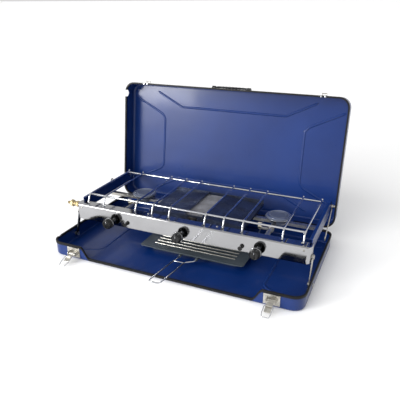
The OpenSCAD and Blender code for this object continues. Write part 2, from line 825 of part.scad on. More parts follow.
// Each electrode: a bracket on the mixing tube, and a ceramic rod with a spark wire.
module electrodes() {
  color(ceramic) for (i = [0, 1]) {
    x = electrode_x[i];
    tube_x = knob_at(2 * i);
    difference() {
      union() {
        translate([x - 4, electrode_y, 69.5]) cube([tube_x - x + 4, 1.5, 6]);
        rod_y(electrode_y, electrode_y + 1.5, tube_r + 2, tube_x, tube_z);
      }
      rod_y(electrode_y - 1, electrode_y + 3, tube_r, tube_x, tube_z);
    }
    translate([x - 4, electrode_y, 72]) cube([8, 1.5, 14]);
    translate([x - 4, electrode_y - 8, 84.5]) cube([8, 9, 1.5]);
    translate([x - 4, electrode_y, 70]) cube([8, 8, 2]);
    translate([x, electrode_y + 5.5, 67]) cylinder(r = 2.5, h = 15);
    wire([x, electrode_y + 5.5, 81], [x + (tube_x - x) * 0.3, electrode_y + 15, 84], 0.8);
  }
}

inlet_x = -panel_x;
hose_r = 4;          // hose tail, for an 8 mm gas hose

module gas_inlet() {
  color(brass) translate([0, manifold_y, manifold_z]) {
    rod_x(inlet_x - 9, inlet_x + 2, manifold_r);
    translate([inlet_x - 9, 0, 0]) rotate([0, 90, 0]) cylinder(r = 8, h = 7, $fn = 6);
    rod_x(inlet_x - 18, inlet_x - 9 + eps, 6.2);
    translate([inlet_x - 26, 0, 0]) rotate([0, 90, 0]) cylinder(r = 9, h = 8, $fn = 6);
    rod_x(inlet_x - 36, inlet_x - 26 + eps, hose_r);
  }
}

// ---- pan support and grill -------------------------------------------------

// A straight wire between two points of one plane across X, run on a little past both.
module slant(a, b, r, x) {
  run = norm(b - a);
  tilt = atan2(b[1] - a[1], b[0] - a[0]);
  translate([x, a[0], a[1]]) rotate([tilt, 0, 0]) translate([0, -r / 4, 0])
    rotate([-90, 0, 0]) cylinder(r = r, h = run + r / 2);
}

module pan_support() {
  r = wire_d / 2;
  knee = grid_y0 - 2;
  color(chrome) {
    rod_x(grid_mid - grid_x, grid_mid + grid_x, rail_d / 2, grid_y0, grid_z - 2.5);
    rod_x(grid_mid - grid_x, grid_mid + grid_x, rail_d / 2, grid_y1, grid_z - 2.5);
    for (i = wire_index) {
      x = wire_at(i);
      rod_y(knee, grid_y1 + 1, r, x, grid_z);
      slant([knee + 0.4, grid_z], [knee - 6, grid_z - 4], r - 0.08, x);
      slant([knee - 6, grid_z - 4], [grid_foot_y, panel_z1 - 0.8], r - 0.16, x);
      slant([grid_y1 + 0.6, grid_z], [grid_y1 + 5, grid_z + 4], r - 0.08, x);
    }
  }
}

slot_x0 = -24;
slot_x1 = 20;
grill_top = 89;
grill_side = 82;
grill_t = 1.2;
burner_top = 84;

// Half section of the housing in X-Z, for one wing.
module wing(x_in, x_out) {
  polygon([[x_in, grill_top], [x_out, grill_side], [x_out, rail_z], [x_out - sign(x_out) * grill_t, rail_z],
           [x_out - sign(x_out) * grill_t, grill_side - 1], [x_in, grill_top - grill_t]]);
}

module grill_outline() {
  polygon([[grill_x0, rail_z], [grill_x0, grill_side], [slot_x0, grill_top], [slot_x1, grill_top],
           [grill_x1, grill_side], [grill_x1, rail_z]]);
}

module grill_housing() {
  color(cast_dark) difference() {
    union() {
      translate([0, grill_y1, 0]) rotate([90, 0, 0]) linear_extrude(grill_y1 - grill_y0) {
        wing(slot_x0, grill_x0);
        wing(slot_x1, grill_x1);
      }
      for (y = [grill_y0 + grill_t, grill_y1]) translate([0, y, 0]) rotate([90, 0, 0])
        linear_extrude(grill_t) grill_outline();
      // folded edge along the back
      translate([grill_x0, grill_y1 - grill_t, grill_side]) cube([grill_x1 - grill_x0, grill_t, 8.5]);
    }
    translate([knob_mid - 12, grill_y0 - 1, 64]) cube([24, 6, 21]);
  }
}

module grill_mesh() {
  color(stainless) translate([slot_x0 - 5, grill_y0 + 3, burner_top])
    cube([slot_x1 - slot_x0 + 10, grill_y1 - grill_y0 - 6, 1]);
}

module grill_burner() {
  x0 = slot_x0 - 3;
  x1 = slot_x1 + 3;
  color(cast_dark) difference() {
    union() {
      translate([x0, grill_y0 + 4, rail_z]) cube([x1 - x0, grill_y1 - grill_y0 - 12, burner_top - rail_z]);
      translate([knob_mid - 9, grill_y0 - 2, 66]) cube([18, 12, 18]);
    }
    translate([x0 + 2, grill_y0 + 14, rail_z + 2]) cube([x1 - x0 - 4, grill_y1 - grill_y0 - 24, 10]);
  }
}

socket_x = 21;
socket_r = 3.2;
socket_z = 13;
handle_r = 1.7;
handle_mid = 4;
handle_half = 13;
handle_len = 146;
handle_rise = 15;
plate_t = 1.6;
plate_lip = 20;      // how far the plate stands out past the pan's walls
ridge_r = 1.3;
ridge_pitch = 13.4;
ridge_rows = 11;
ridge_x0 = -86;
ridge_x1 = 117;
ridge_y0 = -39;

// A shallow pan under a wide plate with raised ridges along X and drain slots between them.
module grill_pan() {
  top = sheet + pan_h;
  wall = 1.2;
  middle = [pan_mid, pan_y0 + pan_d / 2, 0];
  color(enamel) {
    difference() {
      union() {
        translate(middle + [0, 0, top - plate_t]) linear_extrude(plate_t) round_rect(pan_w, pan_d, 8);
        translate(middle + [0, 0, sheet]) linear_extrude(pan_h - plate_t + eps)
          round_rect(pan_w - 2 * plate_lip, pan_d - 2 * plate_lip, 8);
      }
      translate(middle + [0, 0, sheet + wall]) linear_extrude(pan_h - plate_t - wall)
        round_rect(pan_w - 2 * plate_lip - 2 * wall, pan_d - 2 * plate_lip - 2 * wall, 8 - wall);
      for (k = [0:ridge_rows - 2])
        translate([ridge_x0 + 10, ridge_y0 + (k + 0.5) * ridge_pitch - 2.5, top - plate_t - 1])
          cube([ridge_x1 - ridge_x0 - 20, 5, plate_t + 2]);
    }
    for (k = [0:ridge_rows - 1]) rod_x(ridge_x0, ridge_x1, ridge_r, ridge_y0 + k * ridge_pitch, top);
    for (s = [-1, 1]) difference() {
      rod_y(pan_y0 - 8, pan_y0 + plate_lip + 0.5, socket_r, pan_mid + s * socket_x, socket_z);
      rod_y(pan_y0 - 9, pan_y0 - 0.5, handle_r + 0.15, pan_mid + s * socket_x, socket_z);
    }
  }
}

module pan_handle() {
  y0 = pan_y0 - 1.5;
  bend = y0 - 13;
  grip_y = bend - 14;
  tip = y0 - handle_len;
  z1 = socket_z + handle_rise;
  color(chrome) {
    for (s = [-1, 1]) {
      hook = pan_mid + s * socket_x;
      grip = handle_mid + s * handle_half;
      turn = atan2(grip - hook, bend - grip_y);
      rod_y(bend - 0.6, y0, handle_r, hook, socket_z);
      translate([hook, bend, socket_z]) rotate([90, 0, turn])
        cylinder(r = handle_r - 0.1, h = norm([grip - hook, bend - grip_y]));
      wire_yz([tip, z1], [grip_y, socket_z], handle_r, grip);
    }
    rod_x(handle_mid - handle_half, handle_mid + handle_half, handle_r - 0.1, tip, z1);
    rod_x(handle_mid - handle_half - 1, handle_mid + handle_half + 1, handle_r - 0.2,
          bend - 18, socket_z + 0.8);
  }
}

// ---- every node --------------------------------------------------------------

tray();
tray_trim();
tray_hinge_leaves();
hinge_pins();
latch_plate_left();
latch_plate_right();
latch_pins();
latch_lever_left();
latch_lever_right();
latch_bail_left();
latch_bail_right();
lid();
lid_trim();
lid_hinge_leaves();
keeper_left();
keeper_right();
handle_brackets();
carry_handle();
arm_pivots();
stay_left();
stay_right();
leg_left();
leg_right();
leg_pins();
arm_left();
arm_right();
body_pins();
front_panel();
cross_rail();
burner_base_left();
burner_base_right();
burner_head_left();
burner_head_right();
burner_cap_left();
burner_cap_right();
mixing_tube_left();
mixing_tube_middle();
mixing_tube_right();
gas_manifold();
gas_valves();
spindle_left();
spindle_middle();
spindle_right();
knob_left();
knob_middle();
knob_right();
igniter_bodies();
igniter_button_left();
igniter_button_right();
electrodes();
gas_inlet();
pan_support();
grill_housing();
grill_mesh();
grill_burner();
grill_pan();
pan_handle();
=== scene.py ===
import json
import math

import bmesh
import bpy
from mathutils import Matrix, Vector


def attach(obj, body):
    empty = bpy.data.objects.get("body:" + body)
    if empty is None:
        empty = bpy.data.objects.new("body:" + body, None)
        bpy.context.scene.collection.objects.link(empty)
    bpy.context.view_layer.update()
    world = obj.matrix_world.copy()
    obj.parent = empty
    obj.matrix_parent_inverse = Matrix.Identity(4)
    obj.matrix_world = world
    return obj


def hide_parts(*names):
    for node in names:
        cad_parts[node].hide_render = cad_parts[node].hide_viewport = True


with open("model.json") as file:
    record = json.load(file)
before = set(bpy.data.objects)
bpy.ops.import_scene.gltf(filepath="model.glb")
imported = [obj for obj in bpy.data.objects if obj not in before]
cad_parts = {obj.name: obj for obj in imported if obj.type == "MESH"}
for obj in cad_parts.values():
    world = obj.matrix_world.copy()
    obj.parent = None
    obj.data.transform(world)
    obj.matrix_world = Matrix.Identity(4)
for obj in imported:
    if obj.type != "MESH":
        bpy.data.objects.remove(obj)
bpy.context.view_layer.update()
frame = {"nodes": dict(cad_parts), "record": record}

# A folding camp grill. Shapes are given in millimetres in the frame's own axes
# (+X right, +Y back, +Z up, origin under the middle of the tray) and scaled to
# metres when a piece is made.
MM = 0.001
UP = Vector((0, 0, 1))
ON_AXIS = 1e-6           # a smaller radius is a single point on the axis

# ---- materials -------------------------------------------------------------


class Material:
    """A principled material whose nodes are added one by one."""

    def __init__(self, name, **constants):
        self.made = bpy.data.materials.new(name)
        self.made.use_nodes = True
        self.tree = self.made.node_tree
        self.tree.nodes.clear()
        self.shader = self.tree.nodes.new("ShaderNodeBsdfPrincipled")
        output = self.tree.nodes.new("ShaderNodeOutputMaterial")
        self.tree.links.new(self.shader.outputs[0], output.inputs[0])
        for socket, value in constants.items():
            self.shader.inputs[socket.replace("_", " ")].default_value = value

    def node(self, kind, settings=None, **inputs):
        """Adds a node; inputs are named with underscores, or in0, in1 ... by place."""
        made = self.tree.nodes.new("ShaderNode" + kind)
        for key, value in (settings or {}).items():
            setattr(made, key, value)
        for key, value in inputs.items():
            place = int(key[2:]) if key[2:].isdigit() else key.replace("_", " ")
            self.plug(made.inputs[place], value)
        return made

    def plug(self, socket, value):
        """Gives a socket another node's output, or a constant."""
        if isinstance(value, bpy.types.NodeSocket):
            self.tree.links.new(value, socket)
        else:
            socket.default_value = value

    def place(self, stretch=(1, 1, 1)):
        """Where a point is on the piece, in metres, stretched along the axes."""
        where = self.node("TexCoord").outputs["Object"]
        return self.node("Mapping", Vector=where, Scale=stretch).outputs[0]

    def noise(self, scale, detail=3, stretch=(1, 1, 1), roughness=0.5):
        return self.node("TexNoise", Vector=self.place(stretch), Scale=scale, Detail=detail,
                         Roughness=roughness).outputs[0]

    def ramp(self, value, low, high, start=0.0, end=1.0):
        """Maps value from low..high to start..end, held at both ends."""
        return self.node("MapRange", {"clamp": True}, Value=value, From_Min=low, From_Max=high,
                         To_Min=start, To_Max=end).outputs[0]

    def mix(self, factor, first, second):
        """A blend of two colours; 6, 7 and output 2 are the Mix node's colour sockets."""
        return self.node("Mix", {"data_type": "RGBA"}, in0=factor, in6=first, in7=second).outputs[2]

    def multiply(self, first, second):
        return self.node("Math", {"operation": "MULTIPLY"}, in0=first, in1=second).outputs[0]

    def edges(self, radius):
        """The normal rounded over nearby edges, and how near an edge is, from 0 to 1."""
        bevel = self.node("Bevel", {"samples": 4}, Radius=radius).outputs[0]
        flat = self.node("NewGeometry").outputs["Normal"]
        dot = self.node("VectorMath", {"operation": "DOT_PRODUCT"}, in0=bevel, in1=flat).outputs["Value"]
        return bevel, self.ramp(dot, low=0.99, high=0.86)


def colour(red, green, blue):
    """A colour given as the eye sees it, 0 to 255, in the linear values that the shader reads."""
    def linear(part):
        part /= 255
        return part / 12.92 if part <= 0.04045 else ((part + 0.055) / 1.055) ** 2.4
    return (linear(red), linear(green), linear(blue), 1)


SCUFF_SCALE = 180        # noise scale of the scuffs along edges
STAIN_FINER = 1.7        # the smudges are this much finer than the clouds


def surface(name, base, second, worn, rough, patch=22, grain=700, bump=0.05, wear=0.5, edge=0.4,
            stretch=(1, 1, 1), **constants):
    """A finish with cloudy colour, grain in its gloss and relief, and worn edges.

    base and second are the two tones of the clouds, worn is the tone of rubbed edges and rough
    the range of the roughness. patch and grain are noise scales; bump and edge are millimetres.
    """
    m = Material(name, **constants)
    clouds = m.ramp(m.noise(patch, detail=4), low=0.35, high=0.65)
    grit = m.noise(grain, stretch=stretch)
    bevel, near_edge = m.edges(edge * MM)
    scratches = m.noise(SCUFF_SCALE, detail=5, roughness=0.7)
    scuffs = m.ramp(scratches, low=0.42, high=0.62, end=wear)
    worn_part = m.multiply(near_edge, scuffs)
    tint = m.mix(clouds, base, second)
    m.plug(m.shader.inputs["Base Color"], m.mix(worn_part, tint, worn))
    stains = m.noise(patch * STAIN_FINER, detail=5, roughness=0.65)
    smudges = m.ramp(stains, low=0.3, high=0.7, start=-0.04, end=0.06)
    gloss = m.ramp(grit, low=0.3, high=0.7, start=rough[0], end=rough[1])
    total = m.node("Math", {"operation": "ADD", "use_clamp": True}, in0=gloss, in1=smudges).outputs[0]
    m.plug(m.shader.inputs["Roughness"], total)
    relief = m.node("Bump", Strength=1.0, Distance=bump * MM, Height=grit, Normal=bevel)
    m.plug(m.shader.inputs["Normal"], relief.outputs[0])
    return m.made


def blue_paint():
    """Gloss enamel on the case and the arms."""
    return surface("blue_paint", base=colour(7, 41, 101), second=colour(5, 36, 92),
                   worn=colour(60, 92, 140), rough=(0.3, 0.36), patch=9, grain=420, bump=0.012,
                   wear=0.35, edge=0.8, Specular_IOR_Level=0.35, Coat_Weight=0.2,
                   Coat_Roughness=0.1, Coat_IOR=1.5)


def black_trim():
    """The rubber edging round both rims."""
    return surface("black_trim", base=colour(13, 13, 15), second=colour(19, 19, 22),
                   worn=colour(48, 48, 50), rough=(0.42, 0.54), grain=1500, bump=0.05, wear=0.2,
                   Specular_IOR_Level=0.25)


def stainless():
    """Polished sheet with fine lines along X."""
    return surface("stainless", base=colour(177, 177, 179), second=colour(169, 169, 171),
                   worn=colour(200, 200, 200), rough=(0.07, 0.13), patch=14, grain=240, bump=0.0015,
                   wear=0.2, edge=0.5, stretch=(0.06, 3, 3), Metallic=1.0)


def zinc_plate():
    """Bright plating of hinges, links, latches, gas tubes and screws; on the pan's enamel ridges it is
    painted sheen for the light that they reflect.
    """
    return surface("zinc_plate", base=colour(208, 205, 198), second=colour(182, 179, 171),
                   worn=colour(232, 230, 224), rough=(0.24, 0.38), patch=60, grain=900, bump=0.01,
                   wear=0.4, Metallic=1.0)


def chrome_wire():
    """Bright chrome of the wires and spindles, and of the bands and marks on the knobs."""
    return surface("chrome_wire", base=colour(222, 223, 226), second=colour(204, 206, 210),
                   worn=colour(240, 240, 240), rough=(0.08, 0.16), patch=30, grain=600, bump=0.004,
                   wear=0.2, Metallic=1.0)


def turned_brass():
    """The gas valves and the inlet."""
    return surface("turned_brass", base=colour(206, 190, 150), second=colour(180, 160, 116),
                   worn=colour(232, 220, 190), rough=(0.18, 0.3), patch=70, grain=900, bump=0.01,
                   wear=0.5, Metallic=1.0)


def burner_alloy():
    """Cast, matt alloy of the burners; the spark wires have it too."""
    return surface("burner_alloy", base=colour(132, 141, 162), second=colour(116, 124, 144),
                   worn=colour(214, 218, 224), rough=(0.46, 0.58), patch=40, grain=1400, bump=0.03,
                   wear=0.7, edge=0.6, Metallic=0.85)


def polished_alloy():
    """Bright rims of the burners, and the keepers' rivets."""
    return surface("polished_alloy", base=colour(216, 218, 222), second=colour(198, 200, 206),
                   worn=colour(236, 236, 238), rough=(0.14, 0.24), patch=40, grain=900, bump=0.006,
                   wear=0.3, Metallic=1.0)


def black_plastic():
    """Moulded knobs, buttons, grip and brackets."""
    return surface("black_plastic", base=colour(9, 9, 10), second=colour(13, 13, 15),
                   worn=colour(60, 60, 62), rough=(0.2, 0.3), grain=1600, bump=0.025, wear=0.35,
                   Specular_IOR_Level=0.5)


def heated_steel():
    """The grill housing: dark oxide with bluish heat stains."""
    return surface("heated_steel", base=colour(66, 76, 100), second=colour(52, 56, 68),
                   worn=colour(150, 148, 140), rough=(0.22, 0.36), patch=26, grain=800, bump=0.02,
                   wear=0.6, Metallic=0.7)


def mottled_burner():
    """The grill's burner, stained by heat."""
    return surface("mottled_burner", base=colour(74, 72, 70), second=colour(34, 33, 36),
                   worn=colour(140, 134, 124), rough=(0.5, 0.7), patch=150, grain=500, bump=0.12,
                   wear=0.7, Metallic=0.4)


def mesh_steel():
    """Bright steel of the woven mesh."""
    return surface("mesh_steel", base=colour(204, 206, 213), second=colour(166, 168, 174),
                   worn=colour(210, 208, 200), rough=(0.3, 0.45), patch=40, grain=900, bump=0.01,
                   wear=0.3, Metallic=0.9)


def dark_enamel():
    """The grill pan's grey-green enamel."""
    return surface("dark_enamel", base=colour(66, 73, 79), second=colour(57, 64, 69),
                   worn=colour(122, 130, 130), rough=(0.3, 0.42), patch=30, grain=600, bump=0.03,
                   wear=0.5, edge=0.6, Coat_Weight=0.3, Coat_Roughness=0.15)


def cream_ceramic():
    """The electrodes' ceramic."""
    return surface("cream_ceramic", base=colour(232, 226, 208), second=colour(220, 210, 188),
                   worn=colour(246, 244, 236), rough=(0.25, 0.4), patch=60, grain=900, bump=0.01,
                   wear=0.3)


def ceramic_plaque():
    """The rough porous face of the grill's burner, seen through the mesh."""
    return surface("ceramic_plaque", base=colour(150, 140, 124), second=colour(116, 108, 98),
                   worn=colour(176, 168, 150), rough=(0.6, 0.8), patch=120, grain=700, bump=0.2,
                   wear=0.3)


def shaded_zinc():
    """The zinc of the left-hand links as painted shade: a darker copy of the zinc, because these links
    stand in shadow.
    """
    return surface("shaded_zinc", base=colour(58, 60, 64), second=colour(44, 46, 50),
                   worn=colour(120, 120, 122), rough=(0.3, 0.44), patch=60, grain=900, bump=0.01,
                   wear=0.5, Metallic=1.0)


PAINT = blue_paint()
TRIM = black_trim()
STAINLESS = stainless()
ZINC = zinc_plate()
SHADED_ZINC = shaded_zinc()
CHROME = chrome_wire()
BRASS = turned_brass()
ALLOY = burner_alloy()
POLISHED = polished_alloy()
PLASTIC = black_plastic()
HEATED = heated_steel()
MOTTLED = mottled_burner()
MESH = mesh_steel()
ENAMEL = dark_enamel()
CERAMIC = cream_ceramic()
PLAQUE = ceramic_plaque()

SLOT_LOOK = {
    "case_blue": PAINT, "edge_trim": TRIM, "zinc": ZINC, "chrome_wire": CHROME,
    "black_plastic": PLASTIC, "stainless": STAINLESS, "burner_alloy": ALLOY, "brass": BRASS,
    "electrode": CERAMIC, "grill_steel": HEATED, "mesh": MESH, "enamel": ENAMEL,
}
# the left-hand leg and stay get the darker zinc as painted shade
OWN_LOOK = {"grill_burner": MOTTLED, "leg_left": SHADED_ZINC, "stay_left": SHADED_ZINC}

# ---- building pieces ---------------------------------------------------------


def turn(axis, degrees):
    return Matrix.Rotation(math.radians(degrees), 4, axis)


def move(x, y, z):
    return Matrix.Translation((x, y, z))


class Shape:
    """Points and faces of one piece, in millimetres, gathered part by part."""

    def __init__(self):
        self.points = []
        self.faces = []

    def add(self, part, place=None):
        points, faces = part
        first = len(self.points)
        self.points += [place @ Vector(p) if place else Vector(p) for p in points]
        self.faces += [[first + i for i in face] for face in faces]
        return self

    def piece(self, name, material, slot, body, replaces=(), sharp=35):
        """Makes the object, which rides on body and stands for the replaced CAD nodes."""
        mesh = bpy.data.meshes.new(name)
        mesh.from_pydata([p * MM for p in self.points], [], self.faces)
        mesh.update()
        fixed = bmesh.new()
        fixed.from_mesh(mesh)
        bmesh.ops.recalc_face_normals(fixed, faces=fixed.faces)
        fixed.to_mesh(mesh)
        fixed.free()
        mesh.shade_smooth()
        mesh.set_sharp_from_angle(angle=math.radians(sharp))
        mesh.materials.append(material)
        made = bpy.data.objects.new(name, mesh)
        bpy.context.scene.collection.objects.link(made)
        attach(made, body)
        if replaces:
            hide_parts(*replaces)
        return made


def lathe(profile, sides=48):
    """A solid turned about Z from (radius, height) pairs that start and end on the axis."""
    points = []
    faces = []
    rings = []
    for radius, height in profile:
        if radius < ON_AXIS:
            rings.append([len(points)])
            points.append((0, 0, height))
            continue
        rings.append(list(range(len(points), len(points) + sides)))
        for k in range(sides):
            angle = 2 * math.pi * k / sides
            points.append((radius * math.cos(angle), radius * math.sin(angle), height))
    for low, high in zip(rings, rings[1:]):
        for k in range(sides):
            after = (k + 1) % sides
            if len(low) == 1:
                faces.append([low[0], high[k], high[after]])
            elif len(high) == 1:
                faces.append([low[k], low[after], high[0]])
            else:
                faces.append([low[k], low[after], high[after], high[k]])
    return points, faces


STRAIGHT = math.radians(88)      # a corner whose half angle is wider is left as it is
MOST_OF_LEG = 0.48               # of a leg that one bend may take


def rounded(corners, bend, steps=5):
    """The path through corners with each inner corner rounded at the given bend radius."""
    corners = [Vector(c) for c in corners]
    path = [corners[0]]
    for before, corner, after in zip(corners, corners[1:], corners[2:]):
        back = before - corner
        ahead = after - corner
        half = back.angle(ahead) / 2
        if half > STRAIGHT:
            path.append(corner)
            continue
        reach = min(bend / math.tan(half), back.length * MOST_OF_LEG, ahead.length * MOST_OF_LEG)
        start = corner + back.normalized() * reach
        end = corner + ahead.normalized() * reach
        for k in range(steps + 1):
            t = k / steps
            path.append(start * (1 - t) ** 2 + corner * 2 * t * (1 - t) + end * t ** 2)
    path.append(corners[-1])
    return path


END_RINGS = (80, 55, 28)         # degrees of the rings that round off a wire's end
STEEP = 0.9                      # a direction whose Z is larger runs nearly upright


def tube(path, radius, sides=10, closed=False):
    """A wire along path, closed into a loop or with round ends."""
    path = [Vector(p) for p in path]
    count = len(path)
    tangents = []
    for k in range(count):
        before = path[(k - 1) % count] if closed or k else path[0]
        after = path[(k + 1) % count] if closed or k < count - 1 else path[-1]
        tangents.append((after - before).normalized())
    side = UP if abs(tangents[0].z) < STEEP else Vector((1, 0, 0))
    side = (side - tangents[0] * side.dot(tangents[0])).normalized()
    rings = []
    for k in range(count):
        side = (side - tangents[k] * side.dot(tangents[k])).normalized()
        rings.append((path[k], side.copy(), tangents[k].cross(side), 1.0))
    if not closed:
        cap = []
        for degrees in END_RINGS:
            a = math.radians(degrees)
            cap.append((radius * (1 - math.sin(a)), math.cos(a)))
        first = [(path[0] + tangents[0] * d, rings[0][1], rings[0][2], s) for d, s in cap]
        last = [(path[-1] - tangents[-1] * d, rings[-1][1], rings[-1][2], s) for d, s in reversed(cap)]
        rings[0] = (path[0] + tangents[0] * radius, rings[0][1], rings[0][2], 1.0)
        rings[-1] = (path[-1] - tangents[-1] * radius, rings[-1][1], rings[-1][2], 1.0)
        rings = first + rings + last
    points = []
    for centre, across, along, scale in rings:
        for j in range(sides):
            angle = 2 * math.pi * j / sides
            offset = across * math.cos(angle) + along * math.sin(angle)
            points.append(centre + offset * radius * scale)
    faces = []
    total = len(rings)
    for k in range(total if closed else total - 1):
        for j in range(sides):
            after = (j + 1) % sides
            ahead = (k + 1) % total
            faces.append([k * sides + j, k * sides + after, ahead * sides + after, ahead * sides + j])
    if not closed:
        faces.append(list(range(sides))[::-1])
        faces.append([(total - 1) * sides + j for j in range(sides)])
    return points, faces


def block(size, bevel, segments=2):
    """A box about the origin with rounded edges."""
    made = bmesh.new()
    bmesh.ops.create_cube(made, size=1, matrix=Matrix.Diagonal((*size, 1)))
    bmesh.ops.bevel(made, geom=made.edges[:], offset=bevel, segments=segments, affect="EDGES",
                    profile=0.6)
    made.verts.index_update()
    points = [v.co.copy() for v in made.verts]
    faces = [[v.index for v in face.verts] for face in made.faces]
    made.free()
    return points, faces


def dome(radius, height, sides=20):
    """A rivet head that stands on z = 0 and reaches a little way under it."""
    root = -0.3
    rim = [(radius * math.cos(math.radians(a)), height * math.sin(math.radians(a)))
           for a in (0, 25, 50, 72)]
    return lathe([(0, root), (radius, root)] + rim + [(0, height)], sides)


def bead(path, width, height, lift):
    """A low rounded ridge along path, narrowed at its ends; lift points out of the sheet."""
    path = [Vector(p) for p in path]
    slope = [(1, -0.05), (0.75, 0.12), (0.45, 0.55), (0.2, 0.92)]     # parts of half width, height
    profile = [(-at, rise) for at, rise in slope] + [(0, 1)] + slope[::-1]
    end_scale = 0.1
    points = []
    faces = []
    count = len(profile)
    last = len(path) - 1
    for k, centre in enumerate(path):
        tangent = (path[min(k + 1, last)] - path[max(k - 1, 0)]).normalized()
        across = tangent.cross(lift)
        scale = end_scale if k in (0, last) else 1
        for at, rise in profile:
            points.append(centre + across * at * width / 2 * scale + lift * (rise * height * scale))
    for k in range(last):
        for j in range(count - 1):
            faces.append([k * count + j, k * count + j + 1, (k + 1) * count + j + 1, (k + 1) * count + j])
    faces += [[(k + 1) * count, (k + 1) * count + count - 1, k * count + count - 1, k * count]
              for k in range(last)]
    faces.append(list(range(count)))
    faces.append([last * count + j for j in range(count)][::-1])
    return points, faces


# ---- the case ----------------------------------------------------------------

CASE_D = 314                                 # over the sheet, of the tray and of the lid
SHEET = 1.2
TRAY_H = 35
LID_H = 45
HINGE_GAP = 4                                # from the back wall to the hinge axis
LEAN = 8.2                                   # degrees that the open lid leans back
HINGE = Vector((0, CASE_D / 2 + HINGE_GAP, TRAY_H))
ON_LID = move(*HINGE) @ turn("X", -LEAN)     # there Y runs back from the rim and Z up the lid
LID_MID = HINGE_GAP + CASE_D / 2
LID_TOP = HINGE_GAP + CASE_D

LONG_END_IN = 68         # a long crease ends this far inside the corner along X
LONG_END_OUT = 19        # and this far beyond it along Y
KNEE_OUT = 10            # a side crease bends out by this much on its way to the corner
KNEE_IN = 22             # how far inside half_y that bend ends
STRAIGHT_IN = 34         # and how far inside half_y it begins
CREASE_BEND = 14
CREASE_W = 6.5


def pressed_lines(half_x, side_x, half_y, corner_x, corner_y):
    """Pressed lines of a panel about its middle: four creases that run out to the corners."""
    end_x, end_y = corner_x - LONG_END_IN, corner_y + LONG_END_OUT
    knee_x, knee_y = side_x + KNEE_OUT, half_y - KNEE_IN
    straight_y = half_y - STRAIGHT_IN
    lines = []
    for s in (-1, 1):
        lines.append([(-end_x, s * end_y), (-half_x, s * half_y), (half_x, s * half_y),
                      (end_x, s * end_y)])
        lines.append([(s * corner_x, -corner_y), (s * knee_x, -knee_y), (s * side_x, -straight_y),
                      (s * side_x, straight_y), (s * knee_x, knee_y), (s * corner_x, corner_y)])
    return lines


def subdivided(path, step=6):
    """The path with points added, so that none is much further than step from the next."""
    out = [path[0]]
    for a, b in zip(path, path[1:]):
        pieces = max(1, int((b - a).length / step))
        out += [a.lerp(b, (k + 1) / pieces) for k in range(pieces)]
    return out


def pressings(lines, face, place, lift, height):
    """Beads along lines, laid on the sheet by face and then placed on the piece's body."""
    shape = Shape()
    for line in lines:
        path = rounded([Vector((x, y, 0)) for x, y in line], CREASE_BEND)
        shape.add(bead([face(p) for p in subdivided(path)], CREASE_W, height, lift), place)
    return shape


def add_pressings():
    lid_lines = pressed_lines(half_x=145, side_x=196, half_y=100, corner_x=290, corner_y=119)
    sides = (("inside", LID_H - SHEET, -1, 1.0), ("outside", LID_H, 1, 0.8))
    for name, depth, out, height in sides:
        shape = pressings(lid_lines, lambda p: Vector((p.x, depth, LID_MID + p.y)), ON_LID,
                          Vector((0, out, 0)), height)
        shape.piece(f"lid_pressing_{name}", PAINT, "case_blue", "lid")
    tray_lines = pressed_lines(half_x=150, side_x=202, half_y=122, corner_x=288, corner_y=130)
    side_lines = tray_lines[1::2]
    shape = pressings(side_lines, lambda p: Vector((p.x, p.y, SHEET)), None, UP, 0.9)
    shape.piece("tray_pressing", PAINT, "case_blue", "tray")


# ---- pan support ---------------------------------------------------------------

GRID_MID = 2.5           # the grid's middle along X
GRID_X = 267.5           # half its width
GRID_Z = 117             # the wires' centre lines
GRID_Y0 = -36            # front and back rails
GRID_Y1 = 139
WIRE_R = 2
RAIL_R = 2.3
RAIL_DROP = 2.5          # the rails run this far under the wires
PLACES = 12              # equal steps from the left rail end to the right
WIRES = (0, 1, 3, 4, 5, 7, 8, 9, 11, 12)     # none over the burners' middles and the grill's
WIRE_FOOT = (-52, 94.4)                      # Y and Z where a wire ends in its slot of the deck
WIRE_KNEE = (-44, 113)
WIRE_SHOULDER_Y = -38
WIRE_BACK = 1                                # a wire runs level this far past the back rail
WIRE_TIP = (5, 4)                            # its tip stands behind the rail, and up
WIRE_BEND = 5
WELD_DROP = 1.3
WELD_STRETCH = (1.35, 1.15, 0.62, 1)
WELD_PROFILE = [(0, -WIRE_R), (1.2, -1.7), (WIRE_R, 0), (1.2, 1.7), (0, WIRE_R)]


def wire_at(i):
    return GRID_MID - GRID_X + 2 * GRID_X * i / PLACES


def add_pan_support():
    shape = Shape()
    for y in (GRID_Y0, GRID_Y1):
        rail_z = GRID_Z - RAIL_DROP
        shape.add(tube([(GRID_MID - GRID_X, y, rail_z), (GRID_MID + GRID_X, y, rail_z)], RAIL_R, sides=14))
    for i in WIRES:
        x = wire_at(i)
        corners = [(x, *WIRE_FOOT), (x, *WIRE_KNEE), (x, WIRE_SHOULDER_Y, GRID_Z),
                   (x, GRID_Y1 + WIRE_BACK, GRID_Z), (x, GRID_Y1 + WIRE_TIP[0], GRID_Z + WIRE_TIP[1])]
        shape.add(tube(rounded(corners, WIRE_BEND, steps=4), WIRE_R, sides=12))
        for y in (GRID_Y0, GRID_Y1):
            weld = move(x, y, GRID_Z - WELD_DROP) @ Matrix.Diagonal(WELD_STRETCH)
            shape.add(lathe(WELD_PROFILE, sides=12), weld)
    shape.piece("wire_grid", CHROME, "chrome_wire", "stove", ["pan_support"], sharp=60)


# ---- burners -------------------------------------------------------------------

